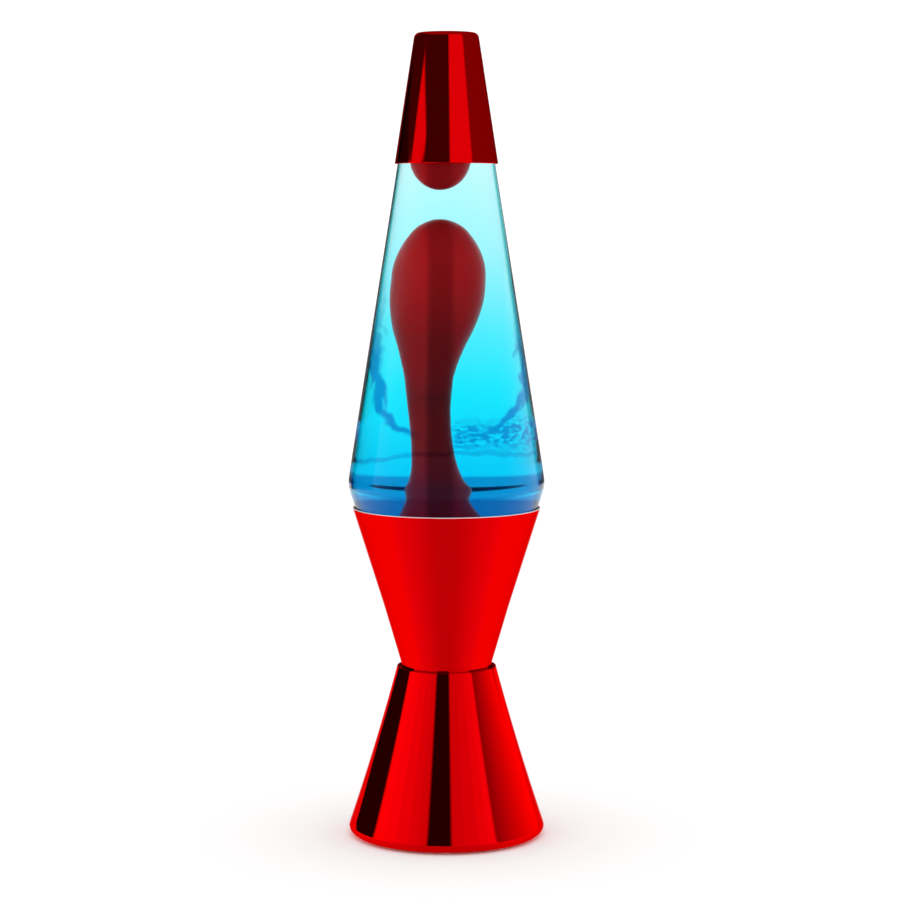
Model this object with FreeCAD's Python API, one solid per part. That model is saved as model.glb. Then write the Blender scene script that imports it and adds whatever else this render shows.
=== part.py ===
import FreeCAD, Part
import math
import os

# A lava lamp: a sealed glass bottle of coloured liquid and wax stands in a two-cone spun metal base, over a
# reflector bulb that warms it, and a spun metal cap covers its neck.
# Millimetres, +Z up. The origin is on the lamp's axis, on the table that the four foot pads stand on. The cable
# leaves the back of the base, on the +Y side.

Vector = FreeCAD.Vector
UP = Vector(0, 0, 1)

# Spun sheet metal
SHEET = 0.8

# Lower cone of the base
FOOT_CORNER = 46.6  # where the wall's line would meet the hem's underside
FOOT_HEM_Z = 0.6
FOOT_HEM_ROUND = 3.4
FOOT_MID_Z = 40.0
FOOT_MID_DIP = 1.1  # how far the wall is hollowed halfway up
FOOT_TOP = 22.8
FOOT_TOP_Z = 78.7
RECESS = 41.2  # the hem's inner radius, round the base plate
FLANGE_INNER = 36.0
FLANGE_Z = 2.3

# Waist, where the two cones are riveted together
WAIST_OPENING = 16.0
SHELF_Z = 75.6  # top of the lower cone's shelf, which the cup stands on
BEAD_INNER = 21.45
RIVET_COUNT = 3
RIVET_CIRCLE = 17.65
RIVET_SHANK = 1.0
RIVET_HEAD = 1.6
RIVET_HEAD_HEIGHT = 1.0

# Upper cone of the base, the cup
CUP_RIM = 43.3
CUP_RIM_Z = 152.3
CUP_BEND = 28.9
CUP_BEND_Z = 107.0
CUP_WAIST = 20.95
CUP_WAIST_Z = 80.0

# Glass bottle
BOTTLE_GAP = 0.35  # between the bottle and the cup's wall
BOTTLE_FLOOR_Z = 108.0
BOTTLE_PUSH_UP = 2.0
GLASS = 2.5
GLASS_LOW = 4.2  # the wall is thicker below the widest point
KNUCKLE_ROUND = 11.0
FLANK_RADIUS = 44.4  # outer radius of the upper cone at FLANK_Z
FLANK_Z = 169.0
FLANK_SLOPE = 0.1587
SHOULDER_Z = 338.0
NECK = 12.8
NECK_Z = 346.0
FINISH = 13.3
LIP_Z = 362.0
MOUTH = 8.0
INNER_FLOOR_Z = 113.0
FILL_Z = 333.0

# Crown seal
LINER = 0.8
CROWN_TOP = 0.3
CROWN_SKIRT = 14.7
CROWN_SKIRT_Z = 357.2
CROWN_FLUTES = 21

# Wax
POOL_Z = 124.0
BLOB_CENTRE = Vector(-2.2, 0, 311.1)
BLOB_RADIUS = 10.4
BLOB_HALF_HEIGHT = 15.0
BLOB_GAP = 0.15

# Wire coil in the wax pool
COIL_RING = 20.0
COIL_RADIUS = 3.0
COIL_WIRE = 0.5
COIL_TURNS = 24
COIL_STEPS = 8  # points to a turn
COIL_SPAN = math.radians(350)
COIL_Z = 118.0

# Cap
CAP_BOTTOM = 23.6
CAP_BOTTOM_Z = 309.0
CAP_TOP = 14.4
CAP_TOP_Z = 368.0
CAP_PAD = 12.0
PAD_GAP = 0.1

# Bulb, with a small Edison screw
BULB_FACE_Z = 100.5
BULB_RADIUS = 19.5
BULB_GLASS = 0.7
THREAD_PITCH = 2.82
THREAD_CREST = 6.9
THREAD_ROOT = 6.15
THREAD_TURNS = 5
THREAD_CLEARANCE = 0.25
THREAD_Z = 38.5
BULB_TIP_Z = 34.1
BULB_NECK_Z = THREAD_Z + THREAD_TURNS * THREAD_PITCH + 4.2

# Lampholder and its hanger
HOLDER_TOP_Z = 59.0
HOLDER_BOTTOM_Z = 14.0
HOLDER_RADIUS = 13.4
HOLDER_BORE = 9.2
HOLDER_FLOOR_Z = 31.0
SHELL_WALL = 0.35
HANGER_SHEET = 1.2
HANGER_LEG_X = 16.2
HANGER_LEG_WIDTH = 9.0
NIPPLE = 5.0
NIPPLE_BORE = 3.6
NIPPLE_BOTTOM_Z = 6.0
NUT_HEIGHT = 3.5
NUT_ACROSS_FLATS = 14.0
WASHER = 0.8
TERMINAL_Z = 24.0

# Base plate, its screws and pads
PLATE_RADIUS = 40.9
PLATE_Z = 0.9
PLATE_SCREW_CIRCLE = 38.5
PLATE_SCREW_COUNT = 3
SCREW_SHANK = 1.4
SCREW_HEAD = 2.8
PAD_RADIUS = 5.0
PAD_CIRCLE = 32.0
PAD_COUNT = 4
VENT_COUNT = 10

# Cable grommet
GROMMET_Z = 20.0
GROMMET_HOLE = 4.5
GROMMET_BORE = 3.2
GROMMET_FLANGE = 6.8
GROMMET_OUTSIDE = 1.6
GROMMET_INSIDE = 1.8


def rounded(corners):
    """A closed wire in the XZ plane through (radius, height, rounding) corners; the rounding may be left out."""
    points = [(Vector(c[0], 0, c[1]), c[2] if len(c) > 2 else 0.0) for c in corners]
    edges = []
    ends = []
    for i, (corner, rounding) in enumerate(points):
        if rounding == 0.0:
            ends.append((corner, None, corner))
            continue
        to_last = (points[i - 1][0] - corner).normalize()
        to_next = (points[(i + 1) % len(points)][0] - corner).normalize()
        half = to_last.getAngle(to_next) / 2
        setback = rounding / math.tan(half)
        centre = corner + (to_last + to_next).normalize() * (rounding / math.sin(half))
        middle = centre + (corner - centre).normalize() * rounding
        ends.append((corner + to_last * setback, middle, corner + to_next * setback))
    for i, (start, middle, end) in enumerate(ends):
        if middle is not None:
            edges.append(Part.Arc(start, middle, end).toShape())
        following = ends[(i + 1) % len(ends)][0]
        if end.distanceToPoint(following) > 1e-6:
            edges.append(Part.LineSegment(end, following).toShape())
    return Part.Wire(edges)


def turned(corners):
    """The solid that an outline in the XZ plane sweeps in a full turn about the lamp's axis."""
    return Part.Face(rounded(corners)).revolve(Vector(), UP, 360)


def drum(radius, low, high, x=0.0, y=0.0):
    """An upright cylinder between two heights."""
    return Part.makeCylinder(radius, high - low, Vector(x, y, low), UP)


def around(count, circle, start=0.0):
    """Points evenly spaced on a circle, each as (x, y, angle in degrees)."""
    for i in range(count):
        angle = start + 360 * i / count
        yield circle * math.cos(math.radians(angle)), circle * math.sin(math.radians(angle)), angle


def block(width, depth, low, high, x=0.0, y=0.0):
    """An upright box centred on (x, y) between two heights."""
    return Part.makeBox(width, depth, high - low, Vector(x - width / 2, y - depth / 2, low))


FOOT_LEAN = (FOOT_CORNER - FOOT_TOP) / (FOOT_TOP_Z - FOOT_HEM_Z)
LEANING_WALL = SHEET * math.hypot(1, FOOT_LEAN)  # the sheet's thickness, measured level


def foot_radius(z):
    """Outer radius of the lower cone's straight line at a height."""
    return FOOT_CORNER - FOOT_LEAN * (z - FOOT_HEM_Z)


def grommet_seat():
    """The point on the lower cone's outside that the cable passes, and the outward normal there."""
    normal = Vector(0, 1, FOOT_LEAN).normalize()
    dip = FOOT_MID_DIP * GROMMET_Z / FOOT_MID_Z
    return Vector(0, foot_radius(GROMMET_Z) - dip, GROMMET_Z), normal


def rivet_holes():
    holes = [drum(RIVET_SHANK, 70, 80, x, y) for x, y, _ in around(RIVET_COUNT, RIVET_CIRCLE, 90)]
    return Part.makeCompound(holes)


def foot_cone():
    shelf_under = SHELF_Z - SHEET
    flange_top = FLANGE_Z + SHEET
    hollow = 900.0
    middle = foot_radius(FOOT_MID_Z) - FOOT_MID_DIP
    shell = turned([
        (FLANGE_INNER, FLANGE_Z),
        (RECESS, FLANGE_Z),
        (RECESS, FOOT_HEM_Z, 0.6),
        (FOOT_CORNER, FOOT_HEM_Z, FOOT_HEM_ROUND),
        (middle, FOOT_MID_Z, hollow),
        (FOOT_TOP, FOOT_TOP_Z, 0.4),
        (BEAD_INNER, FOOT_TOP_Z, 0.25),
        (BEAD_INNER, SHELF_Z),
        (WAIST_OPENING, SHELF_Z),
        (WAIST_OPENING, shelf_under),
        (foot_radius(shelf_under) - LEANING_WALL, shelf_under, 0.6),
        (middle - LEANING_WALL, FOOT_MID_Z, hollow),
        (foot_radius(flange_top) - LEANING_WALL, flange_top, 2.2),
        (FLANGE_INNER, flange_top),
    ])
    seat, normal = grommet_seat()
    cable_hole = Part.makeCylinder(GROMMET_HOLE, 20, seat - normal * 10, normal)
    screw_holes = [
        drum(SCREW_SHANK, 0, 10, x, y) for x, y, _ in around(PLATE_SCREW_COUNT, PLATE_SCREW_CIRCLE, 30)
    ]
    return shell.cut([cable_hole, rivet_holes(), *screw_holes])


def upper_cup():
    wall = SHEET * math.hypot(1, (CUP_RIM - CUP_BEND) / (CUP_RIM_Z - CUP_BEND_Z))
    shell = turned([
        (WAIST_OPENING, SHELF_Z),
        (CUP_WAIST - 0.2, SHELF_Z, 1.5),
        (CUP_WAIST, CUP_WAIST_Z, 12.0),
        (CUP_BEND, CUP_BEND_Z, 200.0),
        (CUP_RIM, CUP_RIM_Z, 0.35),
        (CUP_RIM - wall, CUP_RIM_Z, 0.35),
        (CUP_BEND - wall, CUP_BEND_Z, 200.0),
        (CUP_WAIST - wall, CUP_WAIST_Z, 12.0),
        (CUP_WAIST - 0.2 - SHEET, SHELF_Z + SHEET, 0.7),
        (WAIST_OPENING, SHELF_Z + SHEET),
    ])
    return shell.cut(rivet_holes())


def waist_rivets():
    """Blind rivets through the cup's flange, the shelf and the hanger's ring."""
    top = SHELF_Z + SHEET
    under = SHELF_Z - SHEET - HANGER_SHEET
    rivets = []
    for x, y, _ in around(RIVET_COUNT, RIVET_CIRCLE, 90):
        rivet = turned([
            (0, under - RIVET_HEAD_HEIGHT),
            (RIVET_HEAD, under - RIVET_HEAD_HEIGHT, 0.5),
            (RIVET_HEAD, under),
            (RIVET_SHANK, under),
            (RIVET_SHANK, top),
            (RIVET_HEAD, top),
            (RIVET_HEAD, top + RIVET_HEAD_HEIGHT, 0.7),
            (0, top + RIVET_HEAD_HEIGHT),
        ])
        rivet.translate(Vector(x, y, 0))
        rivets.append(rivet)
    return Part.makeCompound(rivets)


def knuckle(slope_low, radius_low, radius_high):
    """Where the bottle's lower line, of that radius at the cup's rim, meets its upper line."""
    z = radius_high + FLANK_SLOPE * FLANK_Z - radius_low + slope_low * CUP_RIM_Z
    z /= slope_low + FLANK_SLOPE
    return radius_low + slope_low * (z - CUP_RIM_Z), z


BOTTLE_LEAN = (CUP_RIM - CUP_BEND) / (CUP_RIM_Z - CUP_BEND_Z)
SEAT_RADIUS = CUP_RIM - SHEET * math.hypot(1, BOTTLE_LEAN) - BOTTLE_GAP  # the bottle's, level with the cup's rim


def cavity_corners():
    """The inside of the bottle, from the middle of its floor up to the shoulder."""
    low = SEAT_RADIUS - GLASS_LOW
    flank = FLANK_RADIUS - GLASS * math.hypot(1, FLANK_SLOPE)
    widest, widest_z = knuckle(BOTTLE_LEAN, low, flank)
    floor_radius = low + BOTTLE_LEAN * (INNER_FLOOR_Z - CUP_RIM_Z)
    shoulder_z = SHOULDER_Z - 1.0
    return [
        (0, INNER_FLOOR_Z),
        (floor_radius, INNER_FLOOR_Z, 5.0),
        (widest, widest_z, KNUCKLE_ROUND - GLASS_LOW),
        (flank - FLANK_SLOPE * (shoulder_z - FLANK_Z), shoulder_z, 10.0),
    ]


def bottle():
    widest, widest_z = knuckle(BOTTLE_LEAN, SEAT_RADIUS, FLANK_RADIUS)
    floor_radius = SEAT_RADIUS + BOTTLE_LEAN * (BOTTLE_FLOOR_Z - CUP_RIM_Z)
    shoulder = FLANK_RADIUS - FLANK_SLOPE * (SHOULDER_Z - FLANK_Z)
    outside = [
        (0, BOTTLE_FLOOR_Z + BOTTLE_PUSH_UP),
        (19.5, BOTTLE_FLOOR_Z + BOTTLE_PUSH_UP, 2.5),
        (21.5, BOTTLE_FLOOR_Z, 1.0),
        (floor_radius, BOTTLE_FLOOR_Z, 4.0),
        (widest, widest_z, KNUCKLE_ROUND),
        (shoulder, SHOULDER_Z, 12.0),
        (NECK, NECK_Z, 4.0),
        (NECK, LIP_Z - 7.0, 0.8),
        (FINISH, LIP_Z - 6.2, 0.5),
        (FINISH, LIP_Z, 1.2),
        (MOUTH, LIP_Z, 1.2),
    ]
    inside = [(MOUTH, NECK_Z - 0.5, 4.0)] + cavity_corners()[::-1]
    return turned(outside + inside)


def fill():
    """Everything inside the bottle below the liquid's surface."""
    floor, corner, widest, shoulder = cavity_corners()
    share = (FILL_Z - widest[1]) / (shoulder[1] - widest[1])
    surface = widest[0] + share * (shoulder[0] - widest[0])
    return turned([floor, corner, widest, (surface, FILL_Z), (0, FILL_Z)])


def wax_blob(gap=0.0):
    ball = Part.makeSphere(1.0)
    stretch = FreeCAD.Matrix()
    stretch.scale(BLOB_RADIUS + gap, BLOB_RADIUS + gap, BLOB_HALF_HEIGHT + gap)
    ball = ball.transformGeometry(stretch)
    ball.translate(BLOB_CENTRE)
    return ball


def wax_column():
    """The wax pool with the balloon of wax that rises from it: a foot, a stem and a round head."""
    rings = [  # (sideways lean, radius, height)
        (0.0, 24.5, POOL_Z - 2.0),
        (-0.4, 22.6, 130.0),
        (-1.2, 18.2, 142.0),
        (-2.2, 13.7, 153.0),
        (-3.6, 9.1, 165.0),
        (-5.05, 7.0, 180.0),
        (-6.1, 7.4, 200.0),
        (-5.9, 9.3, 216.0),
        (-4.8, 13.4, 231.0),
        (-3.4, 15.8, 247.0),
        (-2.6, 15.7, 259.0),
        (-2.4, 13.2, 270.0),
        (-2.3, 8.7, 278.0),
        (-2.2, 3.5, 283.0),
    ]
    wires = [Part.Wire(Part.makeCircle(radius, Vector(x, 0, z), UP)) for x, radius, z in rings]
    balloon = Part.makeLoft(wires, True, False)
    pool = fill().common(drum(60, INNER_FLOOR_Z, POOL_Z))
    return pool.fuse(balloon).removeSplitter()


def liquid(column):
    return fill().cut([column, wax_blob(BLOB_GAP)])


def wire_coil():
    """A close spring bent into a nearly closed ring, which breaks up the wax as it sinks back into the pool."""
    steps = COIL_TURNS * COIL_STEPS
    points = []
    for i in range(steps + 1):
        along = COIL_SPAN * i / steps
        turn = 2 * math.pi * i / COIL_STEPS
        ring = COIL_RING + COIL_RADIUS * math.cos(turn)
        points.append(Vector(ring * math.cos(along), ring * math.sin(along), COIL_Z + COIL_RADIUS * math.sin(turn)))
    curve = Part.BSplineCurve()
    curve.interpolate(points)
    heading = curve.tangent(curve.FirstParameter)[0]
    section = Part.Wire(Part.makeCircle(COIL_WIRE, points[0], heading))
    return Part.Wire(curve.toShape()).makePipeShell([section], True, True)


def crown_liner():
    return drum(FINISH, LIP_Z, LIP_Z + LINER)


def crown_cap():
    inside = FINISH + 0.12
    under = LIP_Z + LINER
    top = under + CROWN_TOP
    shell = turned([
        (0, under),
        (inside, under),
        (inside, CROWN_SKIRT_Z),
        (CROWN_SKIRT, CROWN_SKIRT_Z),
        (inside + 0.5, top, 1.2),
        (0, top),
    ])
    flutes = [
        drum(0.8, CROWN_SKIRT_Z - 1, LIP_Z - 1, x, y) for x, y, _ in around(CROWN_FLUTES, CROWN_SKIRT + 0.3)
    ]
    return shell.cut(flutes)


def cap_shell():
    lean = (CAP_BOTTOM - CAP_TOP) / (CAP_TOP_Z - CAP_BOTTOM_Z)
    wall = SHEET * math.hypot(1, lean)
    under = CAP_TOP_Z - SHEET
    return turned([
        (0, under),
        (CAP_TOP + lean * SHEET - wall, under, 1.8),
        (CAP_BOTTOM - wall, CAP_BOTTOM_Z, 0.3),
        (CAP_BOTTOM, CAP_BOTTOM_Z, 0.3),
        (CAP_TOP, CAP_TOP_Z, 2.6),
        (0, CAP_TOP_Z),
    ])


def cap_pad():
    """The foam disc inside the cap's top, which rests on the crown."""
    return drum(CAP_PAD, LIP_Z + LINER + CROWN_TOP + PAD_GAP, CAP_TOP_Z - SHEET)


def screw_thread(root, crest, low, turns):
    """Corners of a rounded thread's outline, drawn as rings, from the bottom up."""
    corners = []
    for i in range(turns):
        z = low + i * THREAD_PITCH
        corners += [(root, z, 0.5), (crest, z + THREAD_PITCH / 2, 0.5)]
    return corners + [(root, low + turns * THREAD_PITCH, 0.5)]


def bulb_cap():
    """The screwed metal cap of the bulb, with the skirt that holds the glass."""
    outside = screw_thread(THREAD_ROOT, THREAD_CREST, THREAD_Z, THREAD_TURNS)
    top = THREAD_Z + THREAD_TURNS * THREAD_PITCH
    inside = [(r - SHELL_WALL, z, rounding) for r, z, rounding in outside]
    return turned(
        [(4.0, THREAD_Z - 1.2), (THREAD_ROOT, THREAD_Z - 1.2)]
        + outside
        + [(THREAD_ROOT, top + 1.2, 0.5), (8.6, top + 3.4, 0.5), (8.6, top + 6.0)]
        + [(8.6 - SHELL_WALL, top + 6.0), (8.6 - SHELL_WALL, top + 3.6, 0.5)]
        + [(THREAD_ROOT - SHELL_WALL, top + 1.4, 0.5)]
        + inside[::-1]
        + [(THREAD_ROOT - SHELL_WALL, THREAD_Z - 0.85), (4.0, THREAD_Z - 0.85)]
    )


def bulb_insulator():
    """The black glass cone between the screwed cap and the end contact."""
    return turned([
        (2.3, BULB_TIP_Z + 1.0),
        (3.2, BULB_TIP_Z + 1.0, 0.3),
        (THREAD_ROOT - 0.1, THREAD_Z - 1.2),
        (2.3, THREAD_Z - 1.2),
    ])


def bulb_contact():
    return turned([
        (0, BULB_TIP_Z),
        (2.1, BULB_TIP_Z, 0.9),
        (2.3, BULB_TIP_Z + 1.0),
        (2.3, THREAD_Z - 1.2),
        (0, THREAD_Z - 1.2),
    ])


def bulb_envelope():
    neck_z = BULB_NECK_Z
    neck = 8.6 - SHELL_WALL
    return turned([
        (neck, neck_z),
        (neck, neck_z + 4.5, 6.0),
        (11.0, 70.0, 20.0),
        (BULB_RADIUS, 89.0, 10.0),
        (BULB_RADIUS, BULB_FACE_Z - 1.0, 4.0),
        (0, BULB_FACE_Z),
        (0, BULB_FACE_Z - BULB_GLASS),
        (BULB_RADIUS - BULB_GLASS, BULB_FACE_Z - 1.0 - BULB_GLASS, 3.3),
        (BULB_RADIUS - BULB_GLASS, 89.0, 9.3),
        (11.0 - BULB_GLASS, 70.3, 20.7),
        (neck - BULB_GLASS, neck_z + 4.5, 6.7),
        (neck - BULB_GLASS, neck_z),
    ])


def bulb_stem():
    """The glass foot that closes the bulb's neck and carries the filament."""
    neck_z = BULB_NECK_Z
    outer = 8.6 - SHELL_WALL - BULB_GLASS
    return turned([(0, neck_z), (outer, neck_z), (outer, neck_z + 1.0), (2.6, neck_z + 6.0, 3.0), (2.6, 72.0), (0, 72.0)])


def rod(radius, start, end):
    along = end - start
    return Part.makeCylinder(radius, along.Length, start, along)


def bulb_filament():
    """The coiled tungsten wire, drawn as its envelope, on its two lead wires."""
    pieces = []
    for side in (-1, 1):
        foot = Vector(side * 1.4, 0, 71.0)
        hook = Vector(side * 6.0, 0, 84.0)
        pieces += [rod(0.3, foot, hook), Part.makeSphere(0.5, hook), rod(0.5, hook, Vector(0, 0, 86.0))]
    pieces.append(Part.makeSphere(0.5, Vector(0, 0, 86.0)))
    return pieces[0].fuse(pieces[1:]).removeSplitter()


def holder_body():
    """The moulded lampholder: a bore for the screw shell over a floor, and a wiring space over the nipple."""
    body = turned([
        (HOLDER_BORE, HOLDER_FLOOR_Z),
        (HOLDER_BORE, HOLDER_TOP_Z, 0.6),
        (HOLDER_RADIUS, HOLDER_TOP_Z, 1.2),
        (HOLDER_RADIUS, 34.0),
        (HOLDER_RADIUS - 0.9, 33.0),
        (HOLDER_RADIUS - 0.9, HOLDER_BOTTOM_Z, 1.2),
        (NIPPLE, HOLDER_BOTTOM_Z),
        (NIPPLE, 20.0),
        (9.0, 20.0),
        (9.0, 28.0),
        (1.9, 28.0),
        (1.9, HOLDER_FLOOR_Z),
    ])
    ribs = [
        drum(0.7, 36.0, HOLDER_TOP_Z - 2.0, x, y) for x, y, _ in around(20, HOLDER_RADIUS)
    ]
    screws = [
        Part.makeCylinder(1.5, 8, Vector(0, side * 7, TERMINAL_Z), Vector(0, side, 0)) for side in (-1, 1)
    ]
    return body.fuse(ribs).cut(screws).removeSplitter()


def holder_shell():
    """The threaded brass sleeve that grips the bulb's cap, with its tail to the floor."""
    root = THREAD_ROOT + THREAD_CLEARANCE
    crest = THREAD_CREST + THREAD_CLEARANCE
    inside = screw_thread(root, crest, THREAD_Z, THREAD_TURNS)
    outside = [(r + SHELL_WALL, z, rounding) for r, z, rounding in inside]
    low = THREAD_Z - 1.5
    high = THREAD_Z + THREAD_TURNS * THREAD_PITCH + 0.8
    sleeve = turned(
        [(root, low)] + inside + [(root, high), (root + SHELL_WALL, high)] + outside[::-1] + [(root + SHELL_WALL, low)]
    )
    tail = block(3.0, 0.5, HOLDER_FLOOR_Z, THREAD_Z, y=root + 0.25)
    return sleeve.fuse(tail.cut(drum(root, 0, 100))).removeSplitter()


def holder_contact():
    """The sprung tongue under the bulb's tip, with the rivet that holds it to the floor."""
    outline = [(-6.0, 0.0), (5.6, 0.0), (6.6, 1.1), (5.6, 2.0), (-2.5, 2.9), (-2.5, 2.4), (5.2, 1.5), (5.7, 1.0)]
    outline += [(5.2, 0.5), (-6.0, 0.5)]
    points = [Vector(x, -2.5, HOLDER_FLOOR_Z + z) for x, z in outline]
    tongue = Part.Face(Part.makePolygon(points + points[:1])).extrude(Vector(0, 5, 0))
    rivet = drum(1.9, 27.0, HOLDER_FLOOR_Z + 0.3).fuse(drum(3.0, 26.2, 28.0))
    return tongue.fuse(rivet).removeSplitter()


def terminal_screws():
    screws = []
    for side in (-1, 1):
        out = Vector(0, side, 0)
        shank = Part.makeCylinder(1.5, HOLDER_RADIUS - 0.9 - 8.0, Vector(0, side * 8.0, TERMINAL_Z), out)
        head = Part.makeCylinder(2.7, 1.7, Vector(0, side * (HOLDER_RADIUS - 0.9), TERMINAL_Z), out)
        face = side * (HOLDER_RADIUS + 0.8)
        slot = block(0.7, 1.6, TERMINAL_Z - 3, TERMINAL_Z + 3, y=face)
        screws.append(shank.fuse(head).cut(slot).removeSplitter())
    return Part.makeCompound(screws)


def holder_hanger():
    """A stamped ring under the waist with two legs down to a cross plate, which the lampholder stands on."""
    top = SHELF_Z - SHEET
    ring = drum(BEAD_INNER - 0.3, top - HANGER_SHEET, top).cut(drum(WAIST_OPENING, 0, 100))
    outer = HANGER_LEG_X + HANGER_SHEET
    leg_middle = HANGER_LEG_X + HANGER_SHEET / 2
    legs = [
        block(HANGER_SHEET, HANGER_LEG_WIDTH, HOLDER_BOTTOM_Z - HANGER_SHEET, top - 0.5, x=side * leg_middle)
        for side in (-1, 1)
    ]
    cross = block(2 * outer, HANGER_LEG_WIDTH + 7.0, HOLDER_BOTTOM_Z - HANGER_SHEET, HOLDER_BOTTOM_Z)
    cross = cross.common(drum(outer + 1.0, 0, 100)).cut(drum(NIPPLE + 0.1, 0, 100))
    return ring.fuse(legs + [cross]).cut(rivet_holes()).removeSplitter()


def nipple():
    """The hollow threaded tube that clamps the lampholder and lets the cable in."""
    return turned([
        (NIPPLE_BORE, NIPPLE_BOTTOM_Z),
        (NIPPLE - 0.5, NIPPLE_BOTTOM_Z),
        (NIPPLE, NIPPLE_BOTTOM_Z + 0.5),
        (NIPPLE, 20.0),
        (NIPPLE_BORE, 20.0),
    ])


def nipple_nut():
    top = HOLDER_BOTTOM_Z - HANGER_SHEET - WASHER
    across_corners = NUT_ACROSS_FLATS / math.cos(math.pi / 6)
    corners = [Vector(x, y, top - NUT_HEIGHT) for x, y, _ in around(6, across_corners / 2)]
    hexagon = Part.Face(Part.makePolygon(corners + corners[:1])).extrude(Vector(0, 0, NUT_HEIGHT))
    dome = turned([
        (0, top - NUT_HEIGHT),
        (NUT_ACROSS_FLATS / 2 - 0.2, top - NUT_HEIGHT),
        (across_corners / 2, top - NUT_HEIGHT + 0.8),
        (across_corners / 2, top - 0.8),
        (NUT_ACROSS_FLATS / 2 - 0.2, top),
        (0, top),
    ])
    return hexagon.common(dome).cut(drum(NIPPLE, 0, 100))


def lock_washer():
    """A flat ring with teeth round its outside."""
    top = HOLDER_BOTTOM_Z - HANGER_SHEET
    ring = drum(8.8, top - WASHER, top).cut(drum(NIPPLE + 0.2, 0, 100))
    notches = [drum(0.9, 0, 100, x, y) for x, y, _ in around(14, 8.9)]
    return ring.cut(notches)


def base_plate():
    """The moulded plate that closes the base, with a ring of air slots."""
    plate = drum(PLATE_RADIUS, PLATE_Z, FLANGE_Z)
    slots = []
    for _, _, angle in around(VENT_COUNT, 1.0):
        slot = block(11.0, 2.6, -1, 5, x=16.0).fuse([drum(1.3, -1, 5, x=10.5), drum(1.3, -1, 5, x=21.5)])
        slot.rotate(Vector(), UP, angle)
        slots.append(slot)
    seats = []
    for x, y, _ in around(PLATE_SCREW_COUNT, PLATE_SCREW_CIRCLE, 30):
        seats.append(countersink(x, y, SCREW_SHANK + 0.2))
    return plate.cut(slots + seats)


def countersink(x, y, shank):
    """The head and upper shank of a countersunk screw, as a solid."""
    rise = FLANGE_Z - PLATE_Z
    cone = Part.makeCone(SCREW_HEAD - 0.5, shank, rise - 0.2, Vector(x, y, PLATE_Z), UP)
    return cone.fuse(drum(shank, PLATE_Z, FLANGE_Z, x, y)).removeSplitter()


def plate_screws():
    screws = []
    for x, y, _ in around(PLATE_SCREW_COUNT, PLATE_SCREW_CIRCLE, 30):
        shank = drum(SCREW_SHANK, PLATE_Z, 7.5, x, y)
        point = Part.makeCone(SCREW_SHANK, 0.3, 1.8, Vector(x, y, 7.5), UP)
        cross = [block(2.6, 0.6, 0, PLATE_Z + 0.8, x, y), block(0.6, 2.6, 0, PLATE_Z + 0.8, x, y)]
        screws.append(countersink(x, y, SCREW_SHANK).fuse([shank, point]).cut(cross).removeSplitter())
    return Part.makeCompound(screws)


def foot_pads():
    pads = [
        turned([(0, 0), (PAD_RADIUS, 0, 0.3), (PAD_RADIUS, PLATE_Z), (0, PLATE_Z)]) for _ in range(PAD_COUNT)
    ]
    for pad, (x, y, _) in zip(pads, around(PAD_COUNT, PAD_CIRCLE, 45)):
        pad.translate(Vector(x, y, 0))
    return Part.makeCompound(pads)


def cable_grommet(cone):
    """A rubber bush in the cone's wall that the cable passes through."""
    neck = GROMMET_HOLE
    inside = -SHEET - GROMMET_INSIDE
    bush = turned([
        (GROMMET_BORE, inside),
        (GROMMET_FLANGE - 0.8, inside, 0.6),
        (GROMMET_FLANGE - 0.8, -SHEET),
        (neck, -SHEET),
        (neck, 0),
        (GROMMET_FLANGE, 0),
        (GROMMET_FLANGE, GROMMET_OUTSIDE, 0.9),
        (GROMMET_BORE, GROMMET_OUTSIDE),
    ])
    seat, normal = grommet_seat()
    bush.Placement = FreeCAD.Placement(seat, FreeCAD.Rotation(UP, normal))
    return bush.cut(cone)


def main():
    cone = foot_cone()
    column = wax_column()
    nodes = {
        "cap_shell": cap_shell(),
        "cap_pad": cap_pad(),
        "bottle": bottle(),
        "crown_cap": crown_cap(),
        "crown_liner": crown_liner(),
        "liquid": liquid(column),
        "wax_column": column,
        "wax_blob": wax_blob(),
        "wire_coil": wire_coil(),
        "upper_cup": upper_cup(),
        "foot_cone": cone,
        "waist_rivets": waist_rivets(),
        "holder_hanger": holder_hanger(),
        "holder_body": holder_body(),
        "holder_shell": holder_shell(),
        "holder_contact": holder_contact(),
        "terminal_screws": terminal_screws(),
        "nipple": nipple(),
        "nipple_nut": nipple_nut(),
        "lock_washer": lock_washer(),
        "bulb_envelope": bulb_envelope(),
        "bulb_stem": bulb_stem(),
        "bulb_filament": bulb_filament(),
        "bulb_cap": bulb_cap(),
        "bulb_insulator": bulb_insulator(),
        "bulb_contact": bulb_contact(),
        "base_plate": base_plate(),
        "plate_screws": plate_screws(),
        "foot_pads": foot_pads(),
        "cable_grommet": cable_grommet(cone),
    }
    os.makedirs("parts", exist_ok=True)
    for name, shape in nodes.items():
        shape.exportStep(f"parts/{name}.step")
        print(f"{name}: {len(shape.Solids)} solid(s), valid {shape.isValid()}, {shape.Volume / 1000:.2f} cm3")


main()
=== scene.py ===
import math

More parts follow.
